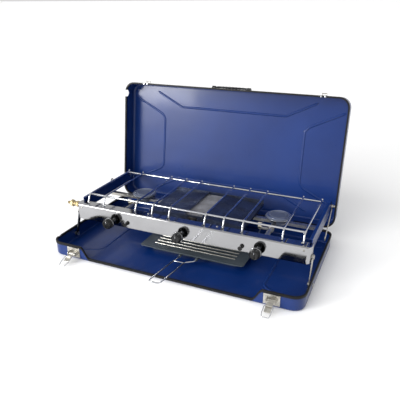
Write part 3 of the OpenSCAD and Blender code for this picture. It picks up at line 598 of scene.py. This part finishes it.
# Profiles are (radius, height) about a burner's own axis.
BURNERS = {"left": (-182, 81), "right": (182, 81)}
CAP_PLUG = [(0, 81.5), (13.5, 81.5), (13.5, 86.4)]
CAP_EDGE = [(29.2, 86.4), (29.9, 86.8), (30, 87.6), (29.6, 88.3), (28.2, 88.6)]
CAP_OUTER_RIDGE = [(27.6, 88.9), (27.2, 89.4), (26.2, 89.7), (24.6, 89.7), (24, 89.5), (23.6, 89.1)]
CAP_INNER_RIDGE = [(20.6, 88.9), (20.1, 89.2), (19.4, 89.95), (18.2, 90), (17.4, 89.6), (16.9, 89.1)]
CAP_DISH = [(15, 88.9), (6, 88.8), (3, 88.85), (0, 88.85)]
CAP_PROFILE = CAP_PLUG + CAP_EDGE + CAP_OUTER_RIDGE + CAP_INNER_RIDGE + CAP_DISH
RIM_PROFILE = [(30.6, 84.7), (31.15, 85), (31.15, 86.2), (30.7, 86.55), (30.15, 86.5), (30.15, 84.9)]
RUBBED_PROFILE = [(24.1, 89.3), (24.5, 89.85), (25.9, 89.95), (26.6, 89.8), (26.4, 89.3)]
TURNED_SIDES = 72


def ring(profile, sides=TURNED_SIDES):
    """A closed ring turned about Z from a closed (radius, height) section."""
    points = []
    faces = []
    count = len(profile)
    for k in range(sides):
        angle = 2 * math.pi * k / sides
        points += [(r * math.cos(angle), r * math.sin(angle), z) for r, z in profile]
    for k in range(sides):
        after = (k + 1) % sides
        for j in range(count):
            up = (j + 1) % count
            faces.append([k * count + j, after * count + j, after * count + up, k * count + up])
    return points, faces


def add_burners():
    """Each cap with its two ridges, the bright rim of the head and the rubbed top of a ridge."""
    for side, (x, y) in BURNERS.items():
        cap = Shape().add(lathe(CAP_PROFILE, TURNED_SIDES), move(x, y, 0))
        cap.piece(f"burner_cap_turned_{side}", ALLOY, "burner_alloy", "stove", [f"burner_cap_{side}"])
        rim = Shape().add(ring(RIM_PROFILE), move(x, y, 0))
        rim.add(ring(RUBBED_PROFILE), move(x, y, 0))
        rim.piece(f"burner_rim_{side}", POLISHED, "burner_alloy", "stove")


ELECTRODES = ((-198, -186.5), (152, 178.5))     # spark rod and mixing tube along X
ELECTRODE_Y = 30
TUBE_Z = 72.5
BRACKET_PLATES = (((8, 1.6, 16), 0.8, 78),      # size, middle along Y from the bracket, height
                  ((8, 9, 1.6), -3.4, 85.2),
                  ((8, 8, 1.8), 4, 71))
PLATE_BEVEL = 0.5
ROD_BACK = 5.5                                  # the rod stands this far behind the bracket
ROD_PROFILE = [(0, 67), (2.3, 67), (2.5, 67.5), (2.5, 71), (2, 71.4), (2.5, 71.8), (2.5, 75),
               (2, 75.4), (2.5, 75.8), (2.5, 79), (2, 79.4), (2.4, 79.8), (1.9, 82), (0, 82)]
CLIP_T, CLIP_H = 1.5, 6
CLIP_BAND = [(5.55, 0), (7.5, 0), (7.5, CLIP_T), (5.55, CLIP_T)]     # round the mixing tube
CLIP_OVER = 4                                   # the clip's arm is longer than the gap by this
SPARK_R, SPARK_BEND, SPARK_RISE = 0.8, 2, 3
SPARK_REACH, SPARK_BACK, SPARK_Z = 0.3, 15, (80, 84)     # reach is a part of the gap to the tube
LEAD_R, LEAD_BEND = 1.1, 6
LEAD_TOP, LEAD_DROP = 68, 4
LEAD_TURNS = ((2, 8, 61.5), (6, -30, 66))       # towards the tube, along Y, and height


def add_electrodes():
    """A cream bracket and spark rod beside each burner, held by a zinc clip on its mixing tube."""
    cream = Shape()
    clips = Shape()
    wires = Shape()
    for x, tube_x in ELECTRODES:
        side = math.copysign(1, tube_x - x)
        for size, back, height in BRACKET_PLATES:
            cream.add(block(size, PLATE_BEVEL), move(x, ELECTRODE_Y + back, height))
        rod_y = ELECTRODE_Y + ROD_BACK
        cream.add(lathe(ROD_PROFILE, sides=20), move(x, rod_y, 0))
        arm = abs(tube_x - x) + CLIP_OVER
        arm_x = (x + tube_x) / 2 - side * CLIP_OVER / 2
        clips.add(block((arm, CLIP_T, CLIP_H), bevel=0.4), move(arm_x, ELECTRODE_Y + CLIP_T / 2, TUBE_Z))
        clips.add(ring(CLIP_BAND, sides=32), move(tube_x, ELECTRODE_Y, TUBE_Z) @ turn("X", -90))
        start = Vector((x, rod_y, SPARK_Z[0]))
        tip = Vector((x + (tube_x - x) * SPARK_REACH, ELECTRODE_Y + SPARK_BACK, SPARK_Z[1]))
        wires.add(tube(rounded([start, start + UP * SPARK_RISE, tip], SPARK_BEND), SPARK_R, sides=8))
        low = Vector((x, rod_y, LEAD_TOP))
        lead = [low, low - UP * LEAD_DROP]
        lead += [Vector((x + side * over, y, z)) for over, y, z in LEAD_TURNS]
        wires.add(tube(rounded(lead, LEAD_BEND), LEAD_R, sides=8))
    cream.piece("electrode_brackets", CERAMIC, "electrode", "stove", ["electrodes"])
    clips.piece("electrode_clips", ZINC, "zinc", "stove")
    wires.piece("spark_wires", ALLOY, "electrode", "stove")


# ---- centre grill --------------------------------------------------------------

MESH_X = (-29, 25)
MESH_Y = (-1, 146)
MESH_Z = 84.5
MESH_MARGIN = 2          # the strands end this far inside the mesh's outline
WEAVE = 2.25             # from strand to strand
STRAND_R = 0.32
STRAND_WAVE = 0.26       # how far a strand rises and dips
HEM_W, HEM_T = 3, 1      # the strip along each long side
PLAQUE_SIZE = (48, 133, 1.6)
PLAQUE_AT = (-2, 71, 83.2)


def strand(start, end, phase, count):
    """One wire of the weave, from start to end, going over and under count others."""
    path = []
    for k in range(2 * count + 1):
        t = k / (2 * count)
        height = STRAND_WAVE * math.sin(math.pi * (count * t + phase + 0.5))
        path.append(start.lerp(end, t) + UP * height)
    return tube(path, STRAND_R, sides=5)


def add_grill():
    """The woven mesh between two strips, and the burner's plaque under it."""
    shape = Shape()
    mesh_w, mesh_d = MESH_X[1] - MESH_X[0], MESH_Y[1] - MESH_Y[0]
    across = int((mesh_w - 2 * MESH_MARGIN) / WEAVE)
    along = int((mesh_d - 2 * MESH_MARGIN) / WEAVE)
    x0, y0 = MESH_X[0] + MESH_MARGIN, MESH_Y[0] + MESH_MARGIN
    for i in range(across + 1):
        x = x0 + i * WEAVE
        ends = Vector((x, y0, MESH_Z)), Vector((x, y0 + along * WEAVE, MESH_Z))
        shape.add(strand(*ends, i % 2, along))
    for j in range(along + 1):
        y = y0 + j * WEAVE
        ends = Vector((x0, y, MESH_Z)), Vector((x0 + across * WEAVE, y, MESH_Z))
        shape.add(strand(*ends, (j + 1) % 2, across))
    for x in (MESH_X[0] + HEM_W / 2, MESH_X[1] - HEM_W / 2):
        shape.add(block((HEM_W, mesh_d, HEM_T), bevel=0.3), move(x, sum(MESH_Y) / 2, MESH_Z))
    shape.piece("woven_mesh", MESH, "mesh", "stove", ["grill_mesh"], sharp=70)
    plaque = Shape().add(block(PLAQUE_SIZE, bevel=0.3), move(*PLAQUE_AT))
    plaque.piece("burner_plaque", PLAQUE, "electrode", "stove")


# ---- controls --------------------------------------------------------------------

KNOBS = {"left": -1, "middle": 0, "right": 1}
KNOB_MID = -4
KNOB_PITCH = 182.5
KNOB_Z = 68.5
KNOB_BACK = -79
FLUTES = 12
FLUTE_SHARPNESS = 0.7    # below 1 the flutes are wide and the lands between them narrow

# (radius, distance to the front, depth of the flutes) from the back of a knob
KNOB_SKIRT = [(0, 0, 0), (3.6, 0, 0), (12.4, 0, 0), (13, 0.7, 0), (13, 2.6, 0), (12.6, 3.2, 0),
              (12, 3.5, 0)]
KNOB_GRIP = [(12, 4.2, 0.4), (12, 5, 1.3), (11.9, 9, 1.4), (11.8, 12.4, 1.3), (11.3, 13.9, 0.9),
             (10.2, 15, 0.4)]
KNOB_FACE = [(9, 15.5, 0), (8.5, 15.2, 0), (8.1, 14.8, 0), (0, 14.8, 0)]
KNOB_BAND = [(11.8, 3.3), (12.5, 3.35), (12.6, 3.7), (12.4, 4), (11.7, 4.1)]
THUMB_BAR, THUMB_BAR_AT = (3.6, 16, 2.2), (0, 0, 14.9)
POINTER, POINTER_AT = (1.0, 5.2, 0.5), (0, 4.6, 15.85)


def fluted(profile, sides=120):
    """A turned shape with hollows cut into its side, as deep as the profile says."""
    points, faces = lathe([(r, h) for r, h, _ in profile], sides)
    depth = []
    for radius, _, flute in profile:
        depth += [flute] * (1 if radius < ON_AXIS else sides)
    out = []
    for (x, y, z), flute in zip(points, depth):
        radius = math.hypot(x, y)
        if radius > 0:
            wave = math.cos(FLUTES * math.atan2(y, x))
            shrink = flute * max(0.0, -wave) ** FLUTE_SHARPNESS / radius
            x, y = x * (1 - shrink), y * (1 - shrink)
        out.append((x, y, z))
    return out, faces


def add_knobs():
    for side, place in KNOBS.items():
        facing = move(KNOB_MID + place * KNOB_PITCH, KNOB_BACK, KNOB_Z) @ turn("X", 90)
        body = f"knob_{side}"
        shape = Shape().add(fluted(KNOB_SKIRT + KNOB_GRIP + KNOB_FACE), facing)
        shape.add(block(THUMB_BAR, bevel=0.8), facing @ move(*THUMB_BAR_AT))
        shape.piece(f"knob_grip_{side}", PLASTIC, "black_plastic", body, [f"knob_{side}"])
        trim = Shape().add(ring(KNOB_BAND, sides=64), facing)
        trim.add(block(POINTER, bevel=0.2), facing @ move(*POINTER_AT))
        trim.piece(f"knob_band_{side}", CHROME, "chrome_wire", body)


# ---- latches, handles ------------------------------------------------------------

LATCH_X = 238
LEVER = move(0, -164.5, 16.5) @ turn("X", 20)     # a lever at rest: -Y runs out along it
BAIL_PIVOT = -12         # the bail's pin and end bar, along the lever
BAIL_END = -39
BAIL_RISE = 2.5          # and its height over the lever
BAIL_X = 8.7             # half its width at the pin
BAIL_R = 1
BAIL_BEND = 2.6
BAIL_END_IN = 1.5        # the end bar is narrower at each side by this
BAIL_BELLY = 0.4         # the arms swell by this
BAIL_BELLY_AT = 9        # from the end bar
BAIL_SEAM = 0.5          # short of where the loop closes; this last point is dropped


def add_bails():
    """A wire loop for each latch. It starts and ends in the middle of its end bar."""
    end_x, belly_x, belly_y = BAIL_X - BAIL_END_IN, BAIL_X + BAIL_BELLY, BAIL_END + BAIL_BELLY_AT
    corners = [(0, BAIL_END, 0), (end_x, BAIL_END, 0), (belly_x, belly_y, 0), (BAIL_X, BAIL_PIVOT, 0),
               (-BAIL_X, BAIL_PIVOT, 0), (-belly_x, belly_y, 0), (-end_x, BAIL_END, 0),
               (-BAIL_SEAM, BAIL_END, 0)]
    loop = rounded(corners, BAIL_BEND, steps=6)[:-1]
    for side, x in (("left", -LATCH_X), ("right", LATCH_X)):
        place = move(x, 0, 0) @ LEVER @ move(0, 0, BAIL_RISE)
        shape = Shape().add(tube(loop, BAIL_R, closed=True), place)
        shape.piece(f"bail_wire_{side}", CHROME, "chrome_wire", f"latch_bail_{side}",
                    [f"latch_bail_{side}"], sharp=60)


PAN_MID = 15
SOCKET_X = 21            # from the pan's middle to each socket
HANDLE_MID = 4
HANDLE_HALF = 13
HANDLE_Y = (-64.5, -77.5, -91.5, -210.5)     # sockets, first bend, second bend, far end
HANDLE_Z = (13, 28)                          # at the pan, and at the far end
HANDLE_R, HANDLE_BEND = 1.7, 9
BRACE_R, BRACE_AHEAD, BRACE_UP, BRACE_OVER = 1.5, 18, 1.2, 1.5


def add_pan_handle():
    """One bent wire that ends in a loop with round corners, and a short brace near the pan."""
    socket_y, bend_y, grip_y, tip_y = HANDLE_Y
    low, high = HANDLE_Z
    left, right = PAN_MID - SOCKET_X, PAN_MID + SOCKET_X
    inner, outer = HANDLE_MID - HANDLE_HALF, HANDLE_MID + HANDLE_HALF
    corners = [(left, socket_y, low), (left, bend_y, low), (inner, grip_y, low), (inner, tip_y, high),
               (outer, tip_y, high), (outer, grip_y, low), (right, bend_y, low), (right, socket_y, low)]
    shape = Shape().add(tube(rounded(corners, HANDLE_BEND, steps=8), HANDLE_R, sides=12))
    brace_y, brace_z = bend_y - BRACE_AHEAD, low + BRACE_UP
    shape.add(tube([(inner - BRACE_OVER, brace_y, brace_z), (outer + BRACE_OVER, brace_y, brace_z)],
                   BRACE_R, sides=12))
    shape.piece("pan_handle_wire", CHROME, "chrome_wire", "pan_handle", ["pan_handle"], sharp=60)


RIDGES = 11
RIDGE_PITCH = 13.4
RIDGE_Y0 = -39
RIDGE_ENDS = (-88, 119)
RIDGE_R = 1.45
RIDGE_Z = 17.3


def add_pan_ridges():
    """Bright zinc rods along the enamel ridges of the pan's plate: painted sheen that stands for the light
    the ridges reflect.
    """
    shape = Shape()
    for k in range(RIDGES):
        y = RIDGE_Y0 + k * RIDGE_PITCH
        shape.add(tube([(x, y, RIDGE_Z) for x in RIDGE_ENDS], RIDGE_R, sides=12))
    # zinc on enamel ridges: a painted sheen, not a plated part
    shape.piece("pan_ridges", ZINC, "enamel", "grill_pan", sharp=60)


CARRY_AT = (5, 14, 321.4)        # the handle's pin, on the lid's own axes
CARRY_HALF = 38.5                # half the grip's length
CARRY_BAR = 11                   # from the pin to the grip
CARRY_FOOT = -1.5                # where the arms end, just past the pin
CARRY_R = 2.4
CARRY_BEND = 7
CARRY_STEP = 2.2                 # between the rings of the grip, fine enough for its ridges
CARRY_PIN_R = 1.6
CARRY_PIN_X = (-1.5, 11.5)       # each pin's ends, from the arm outwards
GRIP_END_IN = 7                  # the swollen part stops this far inside the arms
GRIP_NEAR = 5                    # and takes in what lies this near the bar
GRIP_SWELL, GRIP_RIDGE, RIDGE_HALF_PITCH = 0.12, 0.06, 4.4


def swollen(point):
    """A point of the grip, moved out from the bar's middle line by the swell and the ridges."""
    swell_half = CARRY_HALF - GRIP_END_IN
    if point.y <= CARRY_BAR - GRIP_NEAR or abs(point.x) >= swell_half:
        return point
    swell = (1 + GRIP_SWELL * math.cos(point.x / swell_half * math.pi / 2)
             + GRIP_RIDGE * math.cos(point.x / RIDGE_HALF_PITCH * math.pi))
    centre = Vector((point.x, CARRY_BAR, 0))
    return centre + (point - centre) * swell


def add_carry_handle():
    """A moulded grip on two arms, swelling in the middle, with finger ridges."""
    shape = Shape()
    place = ON_LID @ move(*CARRY_AT)
    for s in (-1, 1):
        pin = [(s * (CARRY_HALF + x), 0, 0) for x in CARRY_PIN_X]
        shape.add(tube(pin, CARRY_PIN_R, sides=12), place)
    corners = [(-CARRY_HALF, CARRY_FOOT, 0), (-CARRY_HALF, CARRY_BAR, 0), (CARRY_HALF, CARRY_BAR, 0),
               (CARRY_HALF, CARRY_FOOT, 0)]
    path = subdivided(rounded(corners, CARRY_BEND, steps=8), CARRY_STEP)
    points, faces = tube(path, CARRY_R, sides=16)
    shape.add(([swollen(p) for p in points], faces), place)
    shape.piece("carry_grip", PLASTIC, "black_plastic", "carry_handle", ["carry_handle"], sharp=60)


# ---- gas inlet and small fixings -----------------------------------------------

INLET_AT = (-288, -53, 88.5)
NUTS = ((4, 7, 8), (20, 8, 9))               # start, length and radius over the corners
NUT_BEVEL = 0.9                              # its length along the nut
NUT_FACE = 0.9                               # radius of the flat end face, as a part of the nut's
NECK_R = 5
THREAD_TOP_R, THREAD_ROOT_R = 6.2, 5.75
THREAD_TURNS, THREAD_PITCH = 5, 1.7
THREAD_TOP, THREAD_ROOT = 11.4, 12.2         # where the first turn's top and root lie
NECK_COLLAR = 1
NECK_STARTS, NECK_ENDS = 11, 21              # the threaded part
TAIL_R, BARB_R, TAIL_TIP_R, TAIL_BORE = 3.4, 4, 2.9, 1.6
BARBS, BARB_PITCH = 3, 3.2
BARB_FOOT, BARB_EDGE, BARB_END = 28, 28.3, 31
TAIL_STARTS, TAIL_ENDS, BORE_DEPTH = 27, 38, 5
TIP_IN, TIP_BACK = 0.2, 0.4                  # the tail narrows a little before its end
NUT_TURN = 15                                # degrees about its own axis


def nut_profile(length, radius):
    flat = radius * NUT_FACE
    return [(0, 0), (flat, 0), (radius, NUT_BEVEL), (radius, length - NUT_BEVEL), (flat, length),
            (0, length)]


def neck_profile():
    out = [(0, 0), (NECK_R, 0), (NECK_R, NECK_STARTS), (THREAD_TOP_R, NECK_STARTS)]
    for k in range(THREAD_TURNS):
        out += [(THREAD_TOP_R, THREAD_TOP + k * THREAD_PITCH),
                (THREAD_ROOT_R, THREAD_ROOT + k * THREAD_PITCH)]
    return out + [(THREAD_TOP_R, NECK_ENDS - NECK_COLLAR), (THREAD_TOP_R, NECK_ENDS), (0, NECK_ENDS)]


def tail_profile():
    out = [(0, TAIL_STARTS), (TAIL_R, TAIL_STARTS)]
    for k in range(BARBS):
        out += [(TAIL_R, BARB_FOOT + k * BARB_PITCH), (BARB_R, BARB_EDGE + k * BARB_PITCH),
                (TAIL_R, BARB_END + k * BARB_PITCH)]
    bore_end = TAIL_ENDS - BORE_DEPTH
    return out + [(TAIL_R - TIP_IN, TAIL_ENDS - TIP_BACK), (TAIL_TIP_R, TAIL_ENDS), (TAIL_BORE, TAIL_ENDS),
                  (TAIL_BORE, bore_end), (0, bore_end)]


def add_inlet():
    """Two hexagonal nuts, a threaded neck and a barbed tail along -X."""
    shape = Shape()
    along = move(*INLET_AT) @ turn("Y", -90)
    for start, length, radius in NUTS:
        place = along @ move(0, 0, start) @ turn("Z", NUT_TURN)
        shape.add(lathe(nut_profile(length, radius), sides=6), place)
    shape.add(lathe(neck_profile(), sides=32), along)
    shape.add(lathe(tail_profile(), sides=28), along)
    shape.piece("gas_inlet_turned", BRASS, "brass", "stove", ["gas_inlet"])


def screw(place, shape, radius=2.6, height=1.2):
    """A pan head screw with a round recess, standing on the place's own XY plane."""
    root, recess = -0.4, height * 0.45
    profile = [(0, root), (radius, root), (radius, 0.3), (radius * 0.9, height * 0.75),
               (radius * 0.62, height), (radius * 0.4, height * 0.97), (0.35, recess), (0, recess)]
    shape.add(lathe(profile, sides=20), place)


DECK_SCREWS_X, DECK_SCREWS_AT = (-262, -96, 78, 268), (-49, 96)
PANEL_SCREWS_X, PANEL_SCREWS_AT, PANEL_LEAN = 275, (-66.6, 88), 2
HEAD_SCREWS_OUT, HEAD_SCREWS_Z = 19.5, 77    # beside each burner's axis
KEEPER_RIVETS_OUT, KEEPER_RIVETS_BACK, KEEPER_RIVETS_DROP = 5, 0.3, 0.6
FLOOR_RIVETS = [(x, y) for x in (-244, 244) for y in (-120, 120)]


def add_fixings():
    stove = Shape()
    for x in DECK_SCREWS_X:
        screw(move(x, *DECK_SCREWS_AT), stove)
    for x in (-PANEL_SCREWS_X, PANEL_SCREWS_X):
        screw(move(x, *PANEL_SCREWS_AT) @ turn("X", 90 + PANEL_LEAN), stove,
              radius=2.3, height=1.0)
    for x, y in BURNERS.values():
        for out in (-HEAD_SCREWS_OUT, HEAD_SCREWS_OUT):
            screw(move(x + out, y, HEAD_SCREWS_Z), stove, radius=1.8, height=1.0)
    stove.piece("stove_screws", ZINC, "zinc", "stove")
    lid = Shape()
    for x in (-LATCH_X, LATCH_X):
        for out in (-KEEPER_RIVETS_OUT, KEEPER_RIVETS_OUT):
            at = move(x + out, KEEPER_RIVETS_BACK, LID_TOP - KEEPER_RIVETS_DROP)
            lid.add(dome(radius=2, height=0.26), ON_LID @ at @ turn("X", 90))
    lid.piece("keeper_rivets", POLISHED, "zinc", "lid")
    tray = Shape()
    for x, y in FLOOR_RIVETS:
        tray.add(dome(radius=3.4, height=1.5), move(x, y, SHEET))
    tray.piece("foot_rivets", ZINC, "zinc", "tray")


# ---- studio ------------------------------------------------------------------------

# From here on lengths are metres.
FLOOR_HALF = 400                             # so large that its edge lies at the horizon
FLOOR_DROP = 0.0005
WORLD_STRENGTH = 0.7
SENSOR = 36
LENS = 42.74
CAMERA_AT = (0.4306, -0.9257, 0.5582)
CAMERA_DOWN, CAMERA_ROLL, CAMERA_HEADING = 0.399, 0.005, 0.42     # radians


def in_scene(name, data):
    made = bpy.data.objects.new(name, data)
    bpy.context.scene.collection.objects.link(made)
    return made


def aim(direction):
    """The rotation of a light that shines along direction."""
    return Vector(direction).to_track_quat("-Z", "Y").to_euler()


def floor():
    mesh = bpy.data.meshes.new("studio_floor")
    corners = [(-1, -1), (1, -1), (1, 1), (-1, 1)]
    mesh.from_pydata([(x * FLOOR_HALF, y * FLOOR_HALF, 0) for x, y in corners], [], [(0, 1, 2, 3)])
    mesh.materials.append(surface("pale_floor", base=colour(252, 252, 252), second=colour(251, 251, 251),
                                  worn=colour(253, 253, 253), rough=(0.7, 0.8), patch=2, bump=0.0,
                                  wear=0))
    made = in_scene("studio_floor", mesh)
    made.location.z = -FLOOR_DROP


def soft_light(name, at, target, size, power):
    data = bpy.data.lights.new(name, "AREA")
    data.shape = "RECTANGLE"
    data.size, data.size_y = size
    data.energy = power
    made = in_scene(name, data)
    made.location = at
    made.rotation_euler = aim(Vector(target) - Vector(at))


def front_glow(strength, source, spread):
    """A very wide, even light from the side of source, as from a wall of soft boxes."""
    data = bpy.data.lights.new("front_glow", "SUN")
    data.energy = strength
    data.angle = math.radians(spread)
    made = in_scene("front_glow", data)
    made.rotation_euler = aim(-Vector(source))
    made.visible_glossy = False          # it fills the shade and leaves no sheen


def studio():
    floor()
    front_glow(strength=2.9, source=(-0.45, -1, 0.5), spread=60)
    soft_light("key", at=(-1.7, -2.2, 0.8), target=(-0.25, 0.2, 0.3), size=(0.9, 0.7), power=46)
    soft_light("right", at=(2.2, -0.6, 1.1), target=(0, 0, 0.1), size=(0.8, 1.2), power=1)
    world = bpy.data.worlds.new("studio")
    world.use_nodes = True
    background = world.node_tree.nodes["Background"]
    background.inputs["Color"].default_value = (1, 1, 1, 1)
    background.inputs["Strength"].default_value = WORLD_STRENGTH
    scene = bpy.context.scene
    scene.world = world
    scene.view_settings.view_transform = "Standard"
    scene.view_settings.look = "None"


def camera():
    data = bpy.data.cameras.new("camera")
    data.sensor_width = SENSOR
    data.lens = LENS
    made = in_scene("camera", data)
    made.location = CAMERA_AT
    made.rotation_euler = (math.pi / 2 - CAMERA_DOWN, CAMERA_ROLL, CAMERA_HEADING)
    bpy.context.scene.camera = made


def dress_cad_nodes():
    """Gives each carried-over CAD node the look of its material slot, or its own."""
    slots = {part["node"]: part["material_slot"] for part in frame["record"]["subparts"]}
    for name, made in frame["nodes"].items():
        made.data.materials.clear()
        made.data.materials.append(OWN_LOOK.get(name, SLOT_LOOK[slots[name]]))


dress_cad_nodes()
add_pressings()
add_pan_support()
add_burners()
add_electrodes()
add_grill()
add_knobs()
add_bails()
add_pan_handle()
add_pan_ridges()
add_carry_handle()
add_inlet()
add_fixings()
studio()
camera()
